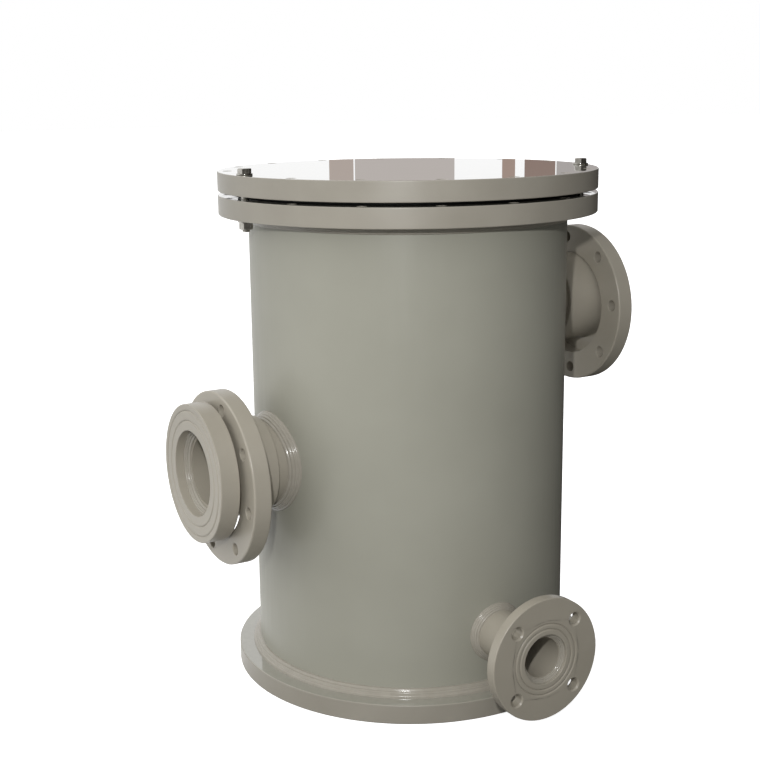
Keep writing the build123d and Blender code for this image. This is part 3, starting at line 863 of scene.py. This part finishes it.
def makeLugs(pinZ, s=bailShape):
    # Upright plates with a drilled eye. The outline is a distance from the pin's centre for each angle: the
    # nearest of the two sides, the foot, the flat top and, above the pin, the round crown.
    low, high = cad("bail_lugs")
    side, foot, top = high[0], pinZ - low[2], high[2] - pinZ
    inner = high[1] - s["lug"]
    corner = math.sqrt(side ** 2 - top ** 2)
    ends = ((side, -foot), (-side, -foot), (corner, top), (-corner, top), (side, 0))
    even = np.linspace(-math.pi, math.pi, s["lugSteps"] + 1)[:-1]
    angle = np.concatenate([even, [math.atan2(z, x) for x, z in ends]])
    angle = np.unique(np.round(angle, 9))
    c, k = np.cos(angle), np.sin(angle)
    least, far = 1e-6, 1e9      # angles along an edge never meet it
    edge = np.where(abs(c) > least, side / np.maximum(abs(c), least), far)
    edge = np.minimum(edge, np.where(k > 0, side, far))
    edge = np.minimum(edge, np.where(k > least, top / np.maximum(k, least), far))
    edge = np.minimum(edge, np.where(k < -least, foot / np.maximum(-k, least), far))
    soft = s["edge"]
    rows = [(s["pinR"], inner), (edge - soft, inner), (edge, inner + soft), (edge, high[1] - soft),
            (edge - soft, high[1]), (s["pinR"], high[1])]
    patches = []
    for way in (1, -1):
        points = np.stack([np.stack([r * c, way * y + 0 * c, pinZ + r * k], -1) for r, y in rows])
        patches.append(grid(points, wrapRows=True, wrapColumns=True, flip=way < 0))
    return dress(makeMesh("bail_ears", patches), "basket", plateMaterial, "basket", "bail_lugs")


def makePins(pinZ, s=bailShape):
    # turned pins with a head outside the bail's eyes
    inner, outer = cad("bail_lugs")[1][1] - s["lug"], cad("bail_pins")[1][1]
    length, under = outer - inner, outer - inner - s["headHeight"]
    pinR, headR = s["pinR"], s["headR"]
    corners = [(0, 0), (pinR, 0), (pinR, under), (headR, under), (headR, length), (0, length)]
    pin = turned(roundCorners(corners, s["pinEdges"], 3), 48)
    patches = [onSide(pin, side * inner, pinZ, side) for side in (1, -1)]
    return dress(makeMesh("bail_studs", patches), "basket", plateMaterial, "basket", "bail_pins")


wallR = cad("basket_wall")[1][0]
boreR, seatR = wallR - basketShape["wall"], wallR + basketShape["seatGap"]
makeBasketWall()
makeBasketBottom()
makeRing("rim_ring", "basket_rim", "basket", "basket", boreR, basketShape["rimEdge"])
makeRing("seat_ring", "basket_seat", "vessel", "plate", seatR, basketShape["seatEdge"])
seat = ringWeld(shellInnerR, cad("basket_seat")[0][2], seatLeg, -1, -1, seed=3)
makeBead("seat_bead", "seat_weld", seat)
pinHeight = (cad("lifting_bail")[0][2] + cad("lifting_bail")[1][2]) / 2
makeBail(pinHeight)
makeLugs(pinHeight)
makePins(pinHeight)
print("basket made")


# Camera, from a fit to the photograph: the view looks a little down on the drain side

view = {"lens": 62.68, "place": (0.0, -2.0934, 0.9223), "pitch": 12.42, "yaw": -1.26, "roll": -0.596,
        "round": -32.0}
viewTurn = Matrix.Rotation(math.radians(view["round"]), 3, "Z")


def makeCamera(s):
    pitch, yaw, roll = [math.radians(s[k]) for k in ("pitch", "yaw", "roll")]
    forward = Vector((math.sin(yaw) * math.cos(pitch), math.cos(yaw) * math.cos(pitch), -math.sin(pitch)))
    right = Vector((math.cos(yaw), -math.sin(yaw), 0))
    up = right.cross(forward)
    across = right * math.cos(roll) + up * math.sin(roll)
    upright = up * math.cos(roll) - right * math.sin(roll)
    basis = Matrix([across, upright, -forward]).transposed().to_4x4()
    camera = bpy.data.objects.new("PhotoCamera", bpy.data.cameras.new("PhotoCamera"))
    camera.data.lens = s["lens"]
    camera.matrix_world = viewTurn.to_4x4() @ Matrix.Translation(s["place"]) @ basis
    bpy.context.scene.collection.objects.link(camera)
    bpy.context.scene.camera = camera


# Light

light = {
    "lamp": 14.8, "lampSize": 0.05, "lampAt": (-0.105, -1.80, 1.09), "lampAim": (0.0, 0.0, 0.45),
    "sideFill": 1.42, "fillPower": 1.5, "fillFrom": (-0.93, -0.25, 0.25),
    "backFill": 0.8, "backFrom": (0.0, 1.0, 0.0),
    "paper": "#ffffff", "bounce": "#727270", "glow": 0.76, "glossGlow": 0.3,
    "floorSize": 60, "floorDrop": 0.0005, "floorRoughness": 0.95,
}
# what the gloss shows round the object, by the angle in degrees from straight behind it, right being positive
room = [(-180, "#6b6966"), (-140, "#a5a3a0"), (-100, "#ffffff"), (-45, "#e6e6e4"), (-18, "#ffffff"),
        (9, "#ffffff"), (20, "#343230"), (100, "#302e2c"), (140, "#5c5a57"), (180, "#6b6966")]
# things that stand in the white part behind it, from and to an angle
things = {"post": (-3.34, -2.3, "#b0a49d"), "wall": (-2.24, 2.02, "#b9b2ae"),
          "pillar": (4.05, 4.6, "#a08c82"), "arch": (5.0, 6.3, "#8b7870"), "far wall": (6.35, 9.0, "#aaa5a3")}


def roomColour(tree, direction):
    # the colour seen in a direction: its angle round the vertical, turned with the view, picks it
    spin = {"Rotation": (0.0, 0.0, math.radians(-view["round"]))}
    level = addNode(tree, "ShaderNodeMapping", spin, {"Vector": direction})
    axes = addNode(tree, "ShaderNodeSeparateXYZ", None, {0: level.outputs[0]})
    sides = {0: axes.outputs[0], 1: axes.outputs[1]}
    angle = addNode(tree, "ShaderNodeMath", {"operation": "ARCTAN2"}, sides)
    span = {"From Min": -math.pi, "From Max": math.pi}
    share = addNode(tree, "ShaderNodeMapRange", span, {"Value": angle.outputs[0]})
    ramp = addNode(tree, "ShaderNodeValToRGB", None, {0: share.outputs[0]})
    stops = ramp.color_ramp.elements
    stops.remove(stops[0])
    for number, (degrees, hexColour) in enumerate(room):
        stop = stops[0] if number == 0 else stops.new((degrees + 180) / 360)
        stop.position = (degrees + 180) / 360
        stop.color = linear(hexColour)
    colour = ramp.outputs[0]
    for start, end, hexColour in things.values():
        limits = {1: math.radians((start + end) / 2), 2: math.radians((end - start) / 2)}
        limits["operation"] = "COMPARE"
        inside = addNode(tree, "ShaderNodeMath", limits, {0: angle.outputs[0]})
        colour = pick(tree, inside.outputs[0], colour, linear(hexColour))
    return colour


def makeLamp(s):
    # one small lamp beside the camera, as a flash is; the lid shows no mirror image of it, but satin surfaces
    # keep its highlight
    lamp = bpy.data.objects.new("FlashLamp", bpy.data.lights.new("FlashLamp", "AREA"))
    lamp.data.shape = "DISK"
    lamp.data.size = s["lampSize"]
    lamp.data.energy = s["lamp"]
    lamp.data.cycles.use_multiple_importance_sampling = False
    lamp.location = viewTurn @ Vector(s["lampAt"])
    lamp.rotation_euler = (Vector(s["lampAim"]) - lamp.location).to_track_quat("-Z", "Y").to_euler()
    bpy.context.scene.collection.objects.link(lamp)


def makeRoom(s):
    # a world that is brighter on the left and behind: side fill x (share of the way to the left) ^ power,
    # plus back fill x cosine squared; gloss sees the room's colours, and the camera sees white
    world = bpy.data.worlds.new("PlainRoom")
    bpy.context.scene.world = world
    world.use_nodes = True
    tree = world.node_tree
    coords = addNode(tree, "ShaderNodeTexCoord")
    path = addNode(tree, "ShaderNodeLightPath")
    cosines = []
    for key in ("fillFrom", "backFrom"):
        settings = {"operation": "DOT_PRODUCT", 1: viewTurn @ Vector(s[key]).normalized()}
        dot = addNode(tree, "ShaderNodeVectorMath", settings, {0: coords.outputs["Generated"]})
        cosines.append(dot.outputs["Value"])
    share = addNode(tree, "ShaderNodeMapRange", {"From Min": -1.0, "From Max": 1.0}, {"Value": cosines[0]})
    curve = addNode(tree, "ShaderNodeMath", {"operation": "POWER", 1: s["fillPower"]}, {0: share.outputs[0]})
    fill = addNode(tree, "ShaderNodeMath", {"operation": "MULTIPLY", 1: s["sideFill"]}, {0: curve.outputs[0]})
    part = addNode(tree, "ShaderNodeMath", {"operation": "MAXIMUM", 1: 0.0}, {0: cosines[1]})
    square = addNode(tree, "ShaderNodeMath", {"operation": "MULTIPLY"}, {i: part.outputs[0] for i in (0, 1)})
    total = addNode(tree, "ShaderNodeMath", {"operation": "MULTIPLY_ADD", 1: s["backFill"]},
                    {0: square.outputs[0], 2: fill.outputs[0]})
    grey = addNode(tree, "ShaderNodeCombineColor", None, {i: total.outputs[0] for i in range(3)})
    seen = addNode(tree, "ShaderNodeMath", {"operation": "MAXIMUM"},
                   {0: path.outputs["Is Camera Ray"], 1: path.outputs["Is Transmission Ray"]})
    shown = roomColour(tree, coords.outputs["Generated"])
    colour = pick(tree, path.outputs["Is Glossy Ray"], grey.outputs[0], shown)
    colour = pick(tree, seen.outputs[0], colour, (1.0, 1.0, 1.0, 1.0))
    tree.links.new(colour, tree.nodes["Background"].inputs["Color"])


def makeFloor(s):
    # White paper under the object, which keeps its shadow: seen directly it glows up to white. Gloss shows
    # it in the room's colours, and it throws back less light than white paper, as a floor that ends beyond
    # the light does.
    bpy.ops.mesh.primitive_plane_add(size=s["floorSize"], location=(0, 0, -s["floorDrop"]))
    floor = bpy.context.object
    floor.name = "PaperFloor"
    material, tree, shader, place = newMaterial("WhitePaper", s["paper"], s["floorRoughness"])
    path = addNode(tree, "ShaderNodeLightPath")
    camera, gloss, white = path.outputs["Is Camera Ray"], path.outputs["Is Glossy Ray"], linear(s["paper"])
    shown = roomColour(tree, place["Vector"])
    colour = pick(tree, gloss, linear(s["bounce"]), shown)
    tree.links.new(pick(tree, camera, colour, white), shader.inputs["Base Color"])
    tree.links.new(pick(tree, gloss, white, shown), shader.inputs["Emission Color"])
    direct = addNode(tree, "ShaderNodeMath", {"operation": "MULTIPLY", 1: s["glow"]}, {0: camera})
    glow = addNode(tree, "ShaderNodeMath", {"operation": "MULTIPLY_ADD", 1: s["glossGlow"]},
                   {0: gloss, 2: direct.outputs[0]})
    tree.links.new(glow.outputs[0], shader.inputs["Emission Strength"])
    shader.inputs["Specular IOR Level"].default_value = 0.0
    floor.data.materials.append(material)


makeCamera(view)
makeLamp(light)
makeRoom(light)
makeFloor(light)
bpy.context.scene.view_settings.view_transform = "Standard"
print("camera and light placed")
